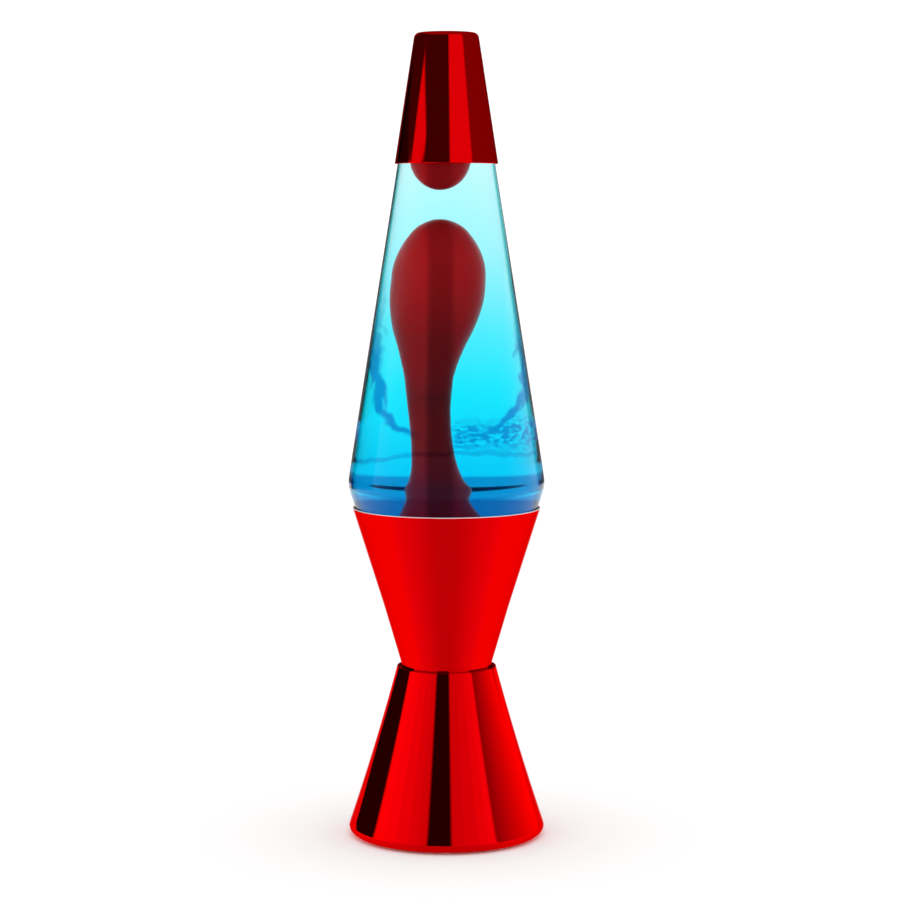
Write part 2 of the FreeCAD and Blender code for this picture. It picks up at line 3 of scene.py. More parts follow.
import bmesh
import bpy
from bpy.props import FloatProperty, FloatVectorProperty, IntProperty, PointerProperty
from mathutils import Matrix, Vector


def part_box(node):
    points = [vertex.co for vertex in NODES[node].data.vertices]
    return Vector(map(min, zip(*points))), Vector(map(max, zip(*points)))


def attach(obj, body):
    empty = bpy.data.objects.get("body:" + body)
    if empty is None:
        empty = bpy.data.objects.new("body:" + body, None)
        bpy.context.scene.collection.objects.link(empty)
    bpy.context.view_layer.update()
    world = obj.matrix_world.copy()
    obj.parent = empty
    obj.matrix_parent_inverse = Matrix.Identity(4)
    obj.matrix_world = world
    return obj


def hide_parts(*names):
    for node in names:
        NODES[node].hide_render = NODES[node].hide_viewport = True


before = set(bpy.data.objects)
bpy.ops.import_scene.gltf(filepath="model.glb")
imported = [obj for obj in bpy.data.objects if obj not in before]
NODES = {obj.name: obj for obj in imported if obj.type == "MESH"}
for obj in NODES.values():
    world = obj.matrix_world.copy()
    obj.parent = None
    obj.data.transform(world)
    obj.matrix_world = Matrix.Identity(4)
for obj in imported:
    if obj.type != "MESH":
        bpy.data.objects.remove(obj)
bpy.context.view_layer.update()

bl_info = {
    "name": "Lava lamp",
    "version": (1, 0, 0),
    "blender": (4, 5, 0),
    "location": "View3D > Sidebar > Lava lamp",
    "description": "Builds the looks of a lava lamp round its packed frame",
    "category": "Object",
}

MM = 0.001
SMALL = 1e-7

# An arc's points are at most this many degrees apart
ARC_STEP = 9
# Straight runs longer than this have points this close to their ends, both in millimetres
LONG_RUN = 1.6
RUN_END = 0.4


# Sizes that the frame gives

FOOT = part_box("foot_cone")
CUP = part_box("upper_cup")
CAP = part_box("cap_shell")
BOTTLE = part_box("bottle")
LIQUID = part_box("liquid")
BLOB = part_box("wax_blob")
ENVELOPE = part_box("bulb_envelope")


# Driving sizes, in millimetres

SHEET = 0.8
FOOT_CORNER = 46.6
FOOT_TOP = 22.8
CAP_TOP = 14.4
INNER_EDGE = 16

CUP_RIM = 43.3
CUP_BEND = 28.9
CUP_BEND_Z = 107
CUP_WAIST = 20.95
CUP_WAIST_Z = 80
RIM_Z = CUP[1].z / MM
LOW_SLOPE = (CUP_RIM - CUP_BEND) / (RIM_Z - CUP_BEND_Z)

SEAT_GAP = 0.35
SEAT = CUP_RIM - SHEET * math.hypot(1, LOW_SLOPE) - SEAT_GAP
FLANK = 44.4
FLANK_Z = 169
FLANK_SLOPE = 0.1587
KNUCKLE_ROUND = 11
LOW_WALL = 4.2
FLANK_WALL = 2.5
CAVITY_FLOOR_Z = 113
SHOULDER_Z = 338
WETTING = 0.04

COLUMN_RADII = [
    (114.0, 29.5), (122.0, 26.0), (126.0, 24.4), (134.0, 21.0), (142.0, 18.2), (149.0, 15.5), (158.0, 11.5),
    (168.0, 8.3), (180.0, 7.15), (190.0, 7.1), (201.0, 7.6), (212.0, 8.6), (223.0, 11.0), (234.0, 14.15),
    (245.0, 15.95), (254.0, 16.1), (262.0, 15.5), (270.0, 13.2), (276.5, 9.9), (279.5, 7.6), (281.4, 5.1),
    (282.5, 2.8), (282.9, 1.3), (283.0, 0.0),
]
COLUMN_LEAN = [
    (114.0, 0.0), (130.0, -0.4), (149.0, -1.9), (165.0, -3.6), (180.0, -5.05), (200.0, -6.1), (216.0, -5.9),
    (231.0, -4.8), (247.0, -3.35), (265.0, -2.5), (283.0, -2.2),
]
COLUMN_RINGS = 120


# Outlines and turned shapes

def rounded(corners, closed=True):
    """Points (radius, height) of an outline through (radius, height, rounding) corners, in millimetres."""
    points = []
    count = len(corners)
    for i, corner in enumerate(corners):
        here = Vector(corner[:2])
        rounding = corner[2] if len(corner) > 2 else 0
        if not rounding:
            points.append(here)
            continue
        last = Vector(corners[i - 1][:2])
        following = Vector(corners[(i + 1) % count][:2])
        to_last = (last - here).normalized()
        to_next = (following - here).normalized()
        half = to_last.angle(to_next) / 2
        turn = math.pi - 2 * half
        centre = here + (to_last + to_next).normalized() * (rounding / math.sin(half))
        start = here + to_last * (rounding / math.tan(half)) - centre
        side = math.copysign(1, to_last.x * to_next.y - to_last.y * to_next.x)
        steps = max(2, math.ceil(math.degrees(turn) / ARC_STEP), math.ceil(rounding * turn))
        for k in range(steps + 1):
            angle = -side * turn * k / steps
            cos, sin = math.cos(angle), math.sin(angle)
            turned_start = Vector((start.x * cos - start.y * sin, start.x * sin + start.y * cos))
            points.append(centre + turned_start)
    return held(points, closed)


def held(points, closed):
    """The same outline with points near the ends of its long runs, so that they shade as true cones."""
    result = []
    for i, here in enumerate(points):
        result.append(here)
        if i == len(points) - 1 and not closed:
            break
        run = points[(i + 1) % len(points)] - here
        if run.length > LONG_RUN:
            step = run.normalized() * RUN_END
            result += [here + step, here + run / 2, here + run - step]
    return result


def turned(name, points, steps=144, closed=True):
    """A mesh object that an outline of (radius, height) points in millimetres makes in a turn about Z."""
    bm = bmesh.new()
    verts = [bm.verts.new((max(0.0, r) * MM, 0, z * MM)) for r, z in points]
    ends = verts[1:] + verts[:1] if closed else verts[1:]
    edges = [bm.edges.new(pair) for pair in zip(verts, ends)]
    bmesh.ops.spin(
        bm, geom=verts + edges, cent=(0, 0, 0), axis=(0, 0, 1), angle=2 * math.pi, steps=steps,
        use_merge=True,
    )
    return finished(name, bm)


def finished(name, bm, smooth=True):
    """The mesh object that a bmesh makes, with doubles merged and faces turned outwards."""
    bmesh.ops.remove_doubles(bm, verts=bm.verts, dist=SMALL)
    bmesh.ops.dissolve_degenerate(bm, edges=bm.edges, dist=SMALL)
    bmesh.ops.recalc_face_normals(bm, faces=bm.faces)
    for face in bm.faces:
        face.smooth = smooth
    mesh = bpy.data.meshes.new(name)
    bm.to_mesh(mesh)
    bm.free()
    piece = bpy.data.objects.new(name, mesh)
    bpy.context.scene.collection.objects.link(piece)
    return piece


def placed(piece, body, slot, *nodes):
    """Joins a piece to a body and lets it stand for CAD nodes, which it hides; the slot is not used."""
    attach(piece, body)
    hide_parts(*nodes)
    return piece


def blended(stops, at):
    """The value at a height of a smooth curve through (height, value) stops that rise in height."""
    if at <= stops[0][0]:
        return stops[0][1]
    if at >= stops[-1][0]:
        return stops[-1][1]
    i = max(k for k in range(len(stops) - 1) if stops[k][0] <= at)
    (z0, v0), (z1, v1) = stops[i], stops[i + 1]
    before = stops[i - 1] if i else stops[i]
    after = stops[i + 2] if i + 2 < len(stops) else stops[i + 1]
    span = z1 - z0
    slope0 = (v1 - before[1]) / (z1 - before[0]) * span
    slope1 = (after[1] - v0) / (after[0] - z0) * span
    t = (at - z0) / span
    return (
        (2 * t**3 - 3 * t**2 + 1) * v0 + (t**3 - 2 * t**2 + t) * slope0
        + (3 * t**2 - 2 * t**3) * v1 + (t**3 - t**2) * slope1
    )


# Materials

class Shader:
    """A material's node tree, with short ways to add and join its nodes."""

    def __init__(self, name):
        self.material = bpy.data.materials.new(name)
        self.material.use_nodes = True
        self.tree = self.material.node_tree
        self.nodes = self.tree.nodes
        self.principled = self.nodes["Principled BSDF"]
        self.output = self.nodes["Material Output"]

    def add(self, kind, **settings):
        node = self.nodes.new(kind)
        for key, value in settings.items():
            setattr(node, key, value)
        return node

    def join(self, source, target):
        self.tree.links.new(source, target)

    def set(self, **values):
        for key, value in values.items():
            self.principled.inputs[key.replace("_", " ")].default_value = value

    def place(self, group, **values):
        node = self.add("ShaderNodeGroup", node_tree=group)
        for key, value in values.items():
            node.inputs[key.replace("_", " ")].default_value = value
        return node


def new_group(name, inputs, outputs):
    """An empty shader node group with float or colour sockets, and its input and output nodes."""
    group = bpy.data.node_groups.new(name, "ShaderNodeTree")
    for title, kind, default in inputs:
        socket = group.interface.new_socket(title, in_out="INPUT", socket_type=kind)
        socket.default_value = default
    for title, kind in outputs:
        group.interface.new_socket(title, in_out="OUTPUT", socket_type=kind)
    return group, group.nodes.new("NodeGroupInput"), group.nodes.new("NodeGroupOutput")


def math_node(tree, operation, first, second, clamp=False):
    """A Math node's result, where each side is a socket or a number."""
    node = tree.nodes.new("ShaderNodeMath")
    node.operation = operation
    node.use_clamp = clamp
    for slot, value in zip(node.inputs, (first, second)):
        if isinstance(value, (int, float)):
            slot.default_value = value
        else:
            tree.links.new(value, slot)
    return node.outputs[0]


def past(tree, value, start, steepness):
    """0 until a value passes a start, then rising with a steepness to 1."""
    return math_node(tree, "MULTIPLY", math_node(tree, "SUBTRACT", value, start), steepness, clamp=True)


def times(tree, *factors):
    """The product of sockets and numbers."""
    product = factors[0]
    for factor in factors[1:]:
        product = math_node(tree, "MULTIPLY", product, factor)
    return product


def soft_ramp(tree, stops):
    """A colour ramp through (place, grey or colour) stops."""
    ramp = tree.nodes.new("ShaderNodeValToRGB")
    elements = ramp.color_ramp.elements
    while len(elements) < len(stops):
        elements.new(0.5)
    for element, (place, _) in zip(elements, stops):
        element.position = place
    for element, (_, value) in zip(elements, stops):
        element.color = (*value, 1) if isinstance(value, tuple) else (value, value, value, 1)
    return ramp


def grain_group():
    """Uneven colour, gloss and surface that any worked material has: broad patches over a fine grain."""
    tree, source, sink = new_group(
        "Grain",
        [
            ("Color", "NodeSocketColor", (0.5, 0.5, 0.5, 1)),
            ("Scale", "NodeSocketFloat", 400.0),
            ("Stretch", "NodeSocketFloat", 1.0),
            ("Color Variation", "NodeSocketFloat", 0.1),
            ("Roughness", "NodeSocketFloat", 0.4),
            ("Roughness Variation", "NodeSocketFloat", 0.1),
        ],
        [("Color", "NodeSocketColor"), ("Roughness", "NodeSocketFloat"), ("Height", "NodeSocketFloat")],
    )
    place = tree.nodes.new("ShaderNodeTexCoord")
    squeeze = tree.nodes.new("ShaderNodeCombineXYZ")
    squeeze.inputs[0].default_value = 1
    squeeze.inputs[1].default_value = 1
    tree.links.new(source.outputs["Stretch"], squeeze.inputs[2])
    scaled = tree.nodes.new("ShaderNodeVectorMath")
    scaled.operation = "MULTIPLY"
    tree.links.new(place.outputs["Object"], scaled.inputs[0])
    tree.links.new(squeeze.outputs[0], scaled.inputs[1])
    fine = tree.nodes.new("ShaderNodeTexNoise")
    fine.inputs["Detail"].default_value = 3
    tree.links.new(scaled.outputs[0], fine.inputs["Vector"])
    tree.links.new(source.outputs["Scale"], fine.inputs["Scale"])
    patches = tree.nodes.new("ShaderNodeTexNoise")
    patches.inputs["Detail"].default_value = 2
    tree.links.new(place.outputs["Object"], patches.inputs["Vector"])
    patch_scale = times(tree, source.outputs["Scale"], 0.08)
    tree.links.new(patch_scale, patches.inputs["Scale"])
    half_fine = times(tree, fine.outputs["Fac"], 0.5)
    half_broad = times(tree, patches.outputs["Fac"], 0.5)
    centred = math_node(tree, "SUBTRACT", math_node(tree, "ADD", half_fine, half_broad), 0.5)
    value = math_node(tree, "ADD", times(tree, centred, source.outputs["Color Variation"]), 1.0)
    tint = tree.nodes.new("ShaderNodeVectorMath")
    tint.operation = "SCALE"
    tree.links.new(source.outputs["Color"], tint.inputs[0])
    tree.links.new(value, tint.inputs["Scale"])
    tree.links.new(tint.outputs[0], sink.inputs["Color"])
    uneven = times(tree, centred, source.outputs["Roughness Variation"])
    gloss = math_node(tree, "ADD", uneven, source.outputs["Roughness"], clamp=True)
    tree.links.new(gloss, sink.inputs["Roughness"])
    tree.links.new(fine.outputs["Fac"], sink.inputs["Height"])


def worked(name, color, roughness, metallic=0.0, scale=400.0, stretch=1.0, color_variation=0.3,
           roughness_variation=0.3, bump=0.02, **values):
    """A plain material with the grain group on its colour, gloss and surface."""
    shader = Shader(name)
    grain = shader.place(
        bpy.data.node_groups["Grain"], Color=(*color, 1), Scale=scale, Stretch=stretch,
        Color_Variation=color_variation, Roughness=roughness, Roughness_Variation=roughness_variation,
    )
    shader.join(grain.outputs["Color"], shader.principled.inputs["Base Color"])
    shader.join(grain.outputs["Roughness"], shader.principled.inputs["Roughness"])
    if bump:
        relief = shader.add("ShaderNodeBump")
        relief.inputs["Strength"].default_value = bump
        relief.inputs["Distance"].default_value = 0.2 * MM
        shader.join(grain.outputs["Height"], relief.inputs["Height"])
        shader.join(relief.outputs["Normal"], shader.principled.inputs["Normal"])
    shader.set(Metallic=metallic, **values)
    return shader


def red_lacquer(colours):
    """Clear red lacquer on bright aluminium, with the faint rings of the spinning; made once and shared."""
    name = "Red lacquered aluminium"
    if name in bpy.data.materials:
        return bpy.data.materials[name]
    return worked(
        name, colours.metal, 0.05, metallic=1.0, scale=260.0, stretch=9.0, color_variation=0.08,
        roughness_variation=0.05, bump=0.012, Specular_Tint=(0.8, 0.1, 0.1, 1),
    ).material


def bare_aluminium():
    """The unlacquered inside of the cup."""
    return worked(
        "Bare spun aluminium", (0.3, 0.31, 0.32), 0.34, metallic=1.0, scale=500.0, stretch=12.0,
        color_variation=0.2, roughness_variation=0.2, bump=0.08,
    ).material


def heights(shader, low, high, stops):
    """A colour ramp that follows the height above the floor, through (height in mm, colour) stops."""
    place = shader.add("ShaderNodeTexCoord")
    axes = shader.add("ShaderNodeSeparateXYZ")
    shader.join(place.outputs["Object"], axes.inputs[0])
    share = shader.add("ShaderNodeMapRange")
    share.inputs["From Min"].default_value = low * MM
    share.inputs["From Max"].default_value = high * MM
    shader.join(axes.outputs["Z"], share.inputs["Value"])
    ramp = soft_ramp(shader.tree, [((z - low) / (high - low), colour) for z, colour in stops])
    shader.join(share.outputs["Result"], ramp.inputs["Fac"])
    return ramp.outputs["Color"], axes.outputs


def mixed(shader, kind, factor, first, second):
    """A colour mix, where each side is a socket or a colour."""
    node = shader.add("ShaderNodeMix", data_type="RGBA", blend_type=kind)
    for key, value in (("Factor", factor), ("A", first), ("B", second)):
        socket = [i for i in node.inputs if i.name == key and i.enabled][0]
        if isinstance(value, (int, float)):
            socket.default_value = value
        elif isinstance(value, tuple):
            socket.default_value = (*value, 1)
        else:
            shader.join(value, socket)
    return [o for o in node.outputs if o.enabled][0]


def bottle_glass(colours):
    """Moulded bottle glass: clear face on, dark teal where its wall is seen edge on, with faint ripples."""
    shader = Shader("Moulded bottle glass")
    shader.set(Roughness=0.0, IOR=1.5, Transmission_Weight=1.0, Specular_Tint=(0.05, 0.05, 0.05, 1))
    facing = shader.add("ShaderNodeLayerWeight")
    facing.inputs["Blend"].default_value = 0.5
    edge = soft_ramp(shader.tree, [
        (0.0, (1.0, 1.0, 1.0)), (0.62, (1.0, 1.0, 1.0)), (0.66, (0.1, 0.75, 0.75)),
        (0.7, (0.04, 0.55, 0.53)), (0.77, (0.06, 0.55, 0.55)), (0.82, (0.3, 0.6, 0.68)),
        (1.0, (0.5, 0.75, 0.8)),
    ])
    shader.join(facing.outputs["Facing"], edge.inputs["Fac"])
    shader.join(edge.outputs["Color"], shader.principled.inputs["Base Color"])
    place = shader.add("ShaderNodeTexCoord")
    ripple = shader.add("ShaderNodeTexNoise")
    ripple.inputs["Scale"].default_value = 38.0
    ripple.inputs["Detail"].default_value = 1.5
    ripple.inputs["Distortion"].default_value = 0.6
    shader.join(place.outputs["Object"], ripple.inputs["Vector"])
    relief = shader.add("ShaderNodeBump")
    relief.inputs["Strength"].default_value = 0.12
    relief.inputs["Distance"].default_value = 1.0 * MM
    shader.join(ripple.outputs["Fac"], relief.inputs["Height"])
    shader.join(relief.outputs["Normal"], shader.principled.inputs["Normal"])
    depth = shader.add("ShaderNodeVolumeAbsorption")
    depth.inputs["Color"].default_value = (*colours.glass, 1)
    depth.inputs["Density"].default_value = 36.0
    shader.join(depth.outputs[0], shader.output.inputs["Volume"])
    return shader.material


def along(shader, place, stops, base, span=200):
    """A place in metres that follows another, through (place, value) stops in millimetres.

    The values lie between base and base + span.
    """
    low, high = stops[0][0], stops[-1][0]
    share = shader.add("ShaderNodeMapRange")
    share.inputs["From Min"].default_value = low * MM
    share.inputs["From Max"].default_value = high * MM
    shader.join(place, share.inputs["Value"])
    ramp = soft_ramp(shader.tree, [
        ((at - low) / (high - low), (value - base) / span) for at, value in stops
    ])
    shader.join(share.outputs["Result"], ramp.inputs["Fac"])
    metres = times(shader.tree, ramp.outputs["Color"], span * MM)
    return math_node(shader.tree, "ADD", metres, base * MM)


def near(shader, value, line, reach, firmness=1.7):
    """1 on and close to a line, falling to 0 at a reach in millimetres on either side of it."""
    tree = shader.tree
    away = math_node(tree, "ABSOLUTE", math_node(tree, "SUBTRACT", value, line), 0.0)
    inside = math_node(tree, "SUBTRACT", 1.0, math_node(tree, "DIVIDE", away, reach * MM))
    return math_node(tree, "MULTIPLY", inside, firmness, clamp=True)


# Heights between which the liquid's colour and the wax's painted glow change, and the top of the painted
# shade at the bottom of the liquid
TINT_LOW, TINT_HIGH = 110, 330
PAINTED_SHADE_TOP = 161.5

# Where the streaks run: (height, across) for the two that hang, (across, height) for the one across
LEFT_STREAK = [
    (184, -10), (188, -15), (193, -23), (199, -29), (209, -28.5), (217, -31.5), (227, -31), (245, -30),
    (270, -30),
]
RIGHT_STREAK = [(186, 8), (190, 18), (196, 28), (201, 31.5), (209, 35), (220, 33), (245, 31), (270, 29)]
ACROSS_STREAK = [(-45, 174), (-38, 175), (-27, 177), (-15, 180), (4, 181), (22, 180), (37, 178), (45, 176)]
LEFTMOST, LOWEST = -60, 100
STREAKS_LOW, STREAKS_HIGH = 186, 262
CLOUD_Z, CLOUD_REACH = 188, 9.0


def cloud(shader, place, axes, z):
    """A ragged patch of ripples in the right half, at the foot of the hanging streaks."""
    tree = shader.tree
    ripples = shader.add("ShaderNodeTexNoise")
    ripples.inputs["Scale"].default_value = 1.0
    ripples.inputs["Detail"].default_value = 3.0
    stretched = shader.add("ShaderNodeMapping")
    stretched.inputs["Scale"].default_value = (260.0, 260.0, 620.0)
    shader.join(place.outputs["Object"], stretched.inputs["Vector"])
    shader.join(stretched.outputs[0], ripples.inputs["Vector"])
    ragged = past(tree, ripples.outputs["Fac"], 0.36, 4.5)
    right_half = past(tree, axes["X"], 0.0, 200.0)
    return times(tree, near(shader, z, CLOUD_Z * MM, CLOUD_REACH), ragged, right_half)


def darker_streaks(shader, axes):
    """Darker streaks in its front half: two that hang, a thin one across and a ripple cloud."""
    tree = shader.tree
    place = shader.add("ShaderNodeTexCoord")
    swirl = shader.add("ShaderNodeTexNoise")
    swirl.inputs["Scale"].default_value = 110.0
    swirl.inputs["Detail"].default_value = 3.0
    swirl.inputs["Distortion"].default_value = 0.8
    shader.join(place.outputs["Object"], swirl.inputs["Vector"])
    parts = shader.add("ShaderNodeSeparateXYZ")
    shader.join(swirl.outputs["Color"], parts.inputs[0])
    sway = times(tree, math_node(tree, "SUBTRACT", parts.outputs[0], 0.5), 9 * MM)
    lift = times(tree, math_node(tree, "SUBTRACT", parts.outputs[1], 0.5), 5 * MM)
    x = math_node(tree, "ADD", axes["X"], sway)
    z = math_node(tree, "ADD", axes["Z"], lift)
    left = near(shader, x, along(shader, z, LEFT_STREAK, LEFTMOST), 4.2)
    right = near(shader, x, along(shader, z, RIGHT_STREAK, LEFTMOST), 3.4)
    across = near(shader, z, along(shader, axes["X"], ACROSS_STREAK, LOWEST), 1.5)
    across = times(tree, across, 0.6)
    hang = past(tree, axes["Z"], STREAKS_LOW * MM, 250.0)
    end = past(tree, STREAKS_HIGH * MM, axes["Z"], 25.0)
    sides = times(tree, math_node(tree, "MAXIMUM", left, right), hang, end)
    most = math_node(tree, "MAXIMUM", across, cloud(shader, place, axes, z))
    most = math_node(tree, "MAXIMUM", sides, most)
    front_half = past(tree, 0.0, axes["Y"], 200.0)
    return times(tree, most, front_half)


def blue_liquid(colours):
    """The clear liquid: pale at the top and deeper downwards, with streaks in its lower half and painted
    shade at its bottom.
    """
    shader = Shader("Blue liquid")
    shader.set(Roughness=0.0, IOR=1.35, Transmission_Weight=1.0, Specular_Tint=(0.02, 0.02, 0.02, 1))
    tint, axes = heights(shader, TINT_LOW, TINT_HIGH, [
        (110, (0.001, 0.5, 0.86)), (165, (0.001, 0.62, 0.93)), (180, tuple(colours.liquid_low)),
        (205, (0.02, 0.84, 0.97)), (230, (0.16, 0.88, 0.97)), (270, (0.7, 0.97, 1.0)),
        (320, tuple(colours.liquid_high)),
    ])
    streaked = mixed(shader, "MULTIPLY", darker_streaks(shader, axes), tint, (0.01, 0.17, 0.5))
    # Painted shade: the liquid is multiplied darker below this height, all round
    below = past(shader.tree, PAINTED_SHADE_TOP * MM, axes["Z"], 700.0)
    with_painted_shade = mixed(shader, "MULTIPLY", below, streaked, (0.8, 0.22, 0.45))
    shader.join(with_painted_shade, shader.principled.inputs["Base Color"])
    depth = shader.add("ShaderNodeVolumeAbsorption")
    depth.inputs["Color"].default_value = (*colours.liquid_depth, 1)
    depth.inputs["Density"].default_value = 14.0
    shader.join(depth.outputs[0], shader.output.inputs["Volume"])
    return shader.material


def red_wax(colours):
    """Deep red wax with a painted glow, strongest low down where the bulb below shines into it, and painted
    reflections: darker down its middle, lighter on its left.
    """
    shader = worked(
        "Red wax", colours.wax, 0.3, scale=60.0, color_variation=0.25, roughness_variation=0.1, bump=0.05,
        Specular_IOR_Level=0.1, Specular_Tint=(1.0, 0.05, 0.05, 1),
    )
    # Painted glow: emission that stands in for the light of the bulb below and of the room, fading upwards
    glow, axes = heights(shader, TINT_LOW, TINT_HIGH, [
        (110, (4.5, 0.01, 0.03)), (158, (4.0, 0.01, 0.025)), (180, (2.4, 0.008, 0.01)),
        (205, (1.0, 0.006, 0.008)), (230, (0.5, 0.004, 0.006)), (285, (0.25, 0.003, 0.005)),
        (330, (0.2, 0.002, 0.004)),
    ])
    # Painted reflections: darker down the middle of the wax and lighter on its left than on its right
    across = shader.add("ShaderNodeMapRange")
    across.inputs["From Min"].default_value = -20 * MM
    across.inputs["From Max"].default_value = 20 * MM
    shader.join(axes["X"], across.inputs["Value"])
    painted_reflection_band = soft_ramp(shader.tree, [
        (0.0, 1.0), (0.3, 1.0), (0.33, 0.5), (0.36, 0.42), (0.53, 0.42), (0.56, 0.5), (0.58, 0.8),
        (1.0, 0.8),
    ])
    shader.join(across.outputs["Result"], painted_reflection_band.inputs["Fac"])
    glow_with_painted_reflections = mixed(shader, "MULTIPLY", 1.0, glow, painted_reflection_band.outputs["Color"])
    shader.join(glow_with_painted_reflections, shader.principled.inputs["Emission Color"])
    shader.set(Emission_Strength=1.0)
    return shader.material


def stem_glass():
    """Clear glass of the stem inside the bulb."""
    shader = Shader("Clear bulb glass")
    shader.set(Base_Color=(0.95, 0.95, 0.94, 1), Roughness=0.05, IOR=1.5, Transmission_Weight=1.0)
    return shader.material


def bulb_glass():
    """The reflector bulb's envelope: silvered below, frosted on its face."""
    shader = Shader("Silvered bulb glass with a frosted face")
    face = ENVELOPE[1].z / MM
    silver, _ = heights(shader, face - 12, face, [
        (face - 12, (1.0, 1.0, 1.0)), (face - 7, (1.0, 1.0, 1.0)), (face - 5, (0.0, 0.0, 0.0)),
        (face, (0.0, 0.0, 0.0)),
    ])
    shader.join(silver, shader.principled.inputs["Metallic"])
    colour = mixed(shader, "MIX", silver, (0.9, 0.88, 0.84), (0.8, 0.8, 0.8))
    shader.join(colour, shader.principled.inputs["Base Color"])
    shader.set(Roughness=0.2)
    return shader.material


# Settings

class LampSizes(bpy.types.PropertyGroup):
    sheet: FloatProperty(
        name="Sheet", description="Thickness of the spun metal", default=SHEET * MM, unit="LENGTH",
        precision=4,
    )
    foot_dip: FloatProperty(
        name="Foot hollow", description="How far the foot's wall is hollowed halfway up",
        default=0.75 * MM, unit="LENGTH", precision=4,
    )
    turn_steps: IntProperty(
        name="Steps in a turn", description="Faces round each turned piece", default=144, min=24,
    )


class LampColours(bpy.types.PropertyGroup):
    metal: FloatVectorProperty(
        name="Lacquered metal", description="Red of the lacquer over the metal", subtype="COLOR",
        default=(0.9, 0.0, 0.002),
    )
    glass: FloatVectorProperty(
        name="Glass", description="What is left of white after a long way through the glass",
        subtype="COLOR", default=(0.3, 0.86, 0.85),
    )
    liquid_high: FloatVectorProperty(
        name="Liquid, top", description="Tint of the liquid at the cap", subtype="COLOR",
        default=(1.0, 1.0, 1.0),
    )
    liquid_low: FloatVectorProperty(
        name="Liquid, bottom", description="Tint of the liquid at the cup's rim", subtype="COLOR",
        default=(0.006, 0.72, 0.95),
    )
    liquid_depth: FloatVectorProperty(
        name="Liquid, in depth", description="What is left of white after a long way through the liquid",
        subtype="COLOR", default=(0.05, 0.9, 0.985),
    )
    wax: FloatVectorProperty(
        name="Wax", description="Red of the wax", subtype="COLOR", default=(0.5, 0.002, 0.004),
    )


# Pieces

class LAMP_OT_foot_cone(bpy.types.Operator):
    """Lower spun cone with its rolled hem and the lip that the cup stands in"""

    bl_idname = "lamp.foot_cone"
    bl_label = "Foot cone"

    def execute(self, context):
        sizes = context.scene.lamp_sizes
        colours = context.scene.lamp_colours
        low, high = FOOT[0].z / MM, FOOT[1].z / MM
        sheet = sizes.sheet / MM
        dip = sizes.foot_dip / MM
        hem_in, hem_top = 41.2, 6
        ledge_in, ledge_z = 36, 3.1
        socket, shelf_z = 21.45, 75.6
        lean = (FOOT_CORNER - FOOT_TOP) / (high - low)

        def wall(z, inward):
            across = (z - low) / (high - low)
            return FOOT_CORNER - lean * (z - low) - 4 * dip * across * (1 - across) - inward

        level = sheet * math.hypot(1, lean)
        stops = range(hem_top, 76, 2)
        outside = [Vector((wall(z, 0), z)) for z in stops]
        inside = [Vector((wall(z, level), z)) for z in reversed(stops) if z < high - 4]
        hem = rounded([
            (hem_in, low + 1.7), (hem_in, low, 0.6), (FOOT_CORNER, low, 3.4), (wall(hem_top, 0), hem_top),
        ], False)[:-1]
        lip = rounded([
            (wall(75, 0), 75), (FOOT_TOP, high, 0.4), (socket, high, 0.25), (socket, shelf_z),
            (INNER_EDGE, shelf_z), (INNER_EDGE, shelf_z - sheet),
            (wall(shelf_z - sheet, level), shelf_z - sheet, 0.6), (wall(73, level), 73),
        ], False)[1:]
        ledge = rounded([
            (wall(hem_top, level), hem_top), (wall(ledge_z, level), ledge_z, 2.0), (ledge_in, ledge_z),
            (ledge_in, ledge_z - sheet), (hem_in, ledge_z - sheet),
        ], False)
        points = hem + outside[1:] + lip + inside[2:-1] + ledge
        piece = turned("foot_cone_spun", points, sizes.turn_steps)
        piece.data.materials.append(red_lacquer(colours))
        placed(piece, "base", "red_metal", "foot_cone")
        return {"FINISHED"}


class LAMP_OT_upper_cup(bpy.types.Operator):
    """Upper spun cone, the cup, lacquered outside and bare inside, with a painted highlight on its rim edge
    """

    bl_idname = "lamp.upper_cup"
    bl_label = "Upper cup"

    def execute(self, context):
        sizes = context.scene.lamp_sizes
        foot_z = CUP[0].z / MM
        sheet = sizes.sheet / MM
        level = sheet * math.hypot(1, LOW_SLOPE)
        heel = CUP_WAIST - 0.2
        points = rounded([
            (INNER_EDGE, foot_z), (heel, foot_z, 1.5), (CUP_WAIST, CUP_WAIST_Z, 12),
            (CUP_BEND, CUP_BEND_Z, 200), (CUP_RIM, RIM_Z, 0.4), (CUP_RIM - level, RIM_Z, 0.4),
            (CUP_BEND - level, CUP_BEND_Z, 200), (CUP_WAIST - level, CUP_WAIST_Z, 12),
            (heel - sheet, foot_z + sheet, 0.7), (INNER_EDGE, foot_z + sheet),
        ])
        piece = turned("upper_cup_spun", points, sizes.turn_steps)
        # Pale pink on the rim's top edge is a painted highlight
        painted_rim_highlight = worked("Cut rim", (0.9, 0.78, 0.78), 0.4, metallic=0.2).material
        outside, inside, edge = range(3)
        for material in (red_lacquer(context.scene.lamp_colours), bare_aluminium(), painted_rim_highlight):
            piece.data.materials.append(material)
        for face in piece.data.polygons:
            middle = face.center
            if middle.z > CUP[1].z - 0.4 * MM and face.normal.z > 0.2:
                face.material_index = edge
            elif face.normal.dot(Vector((middle.x, middle.y, 0))) < 0:
                face.material_index = inside
            else:
                face.material_index = outside
        placed(piece, "base", "red_metal", "upper_cup")
        return {"FINISHED"}


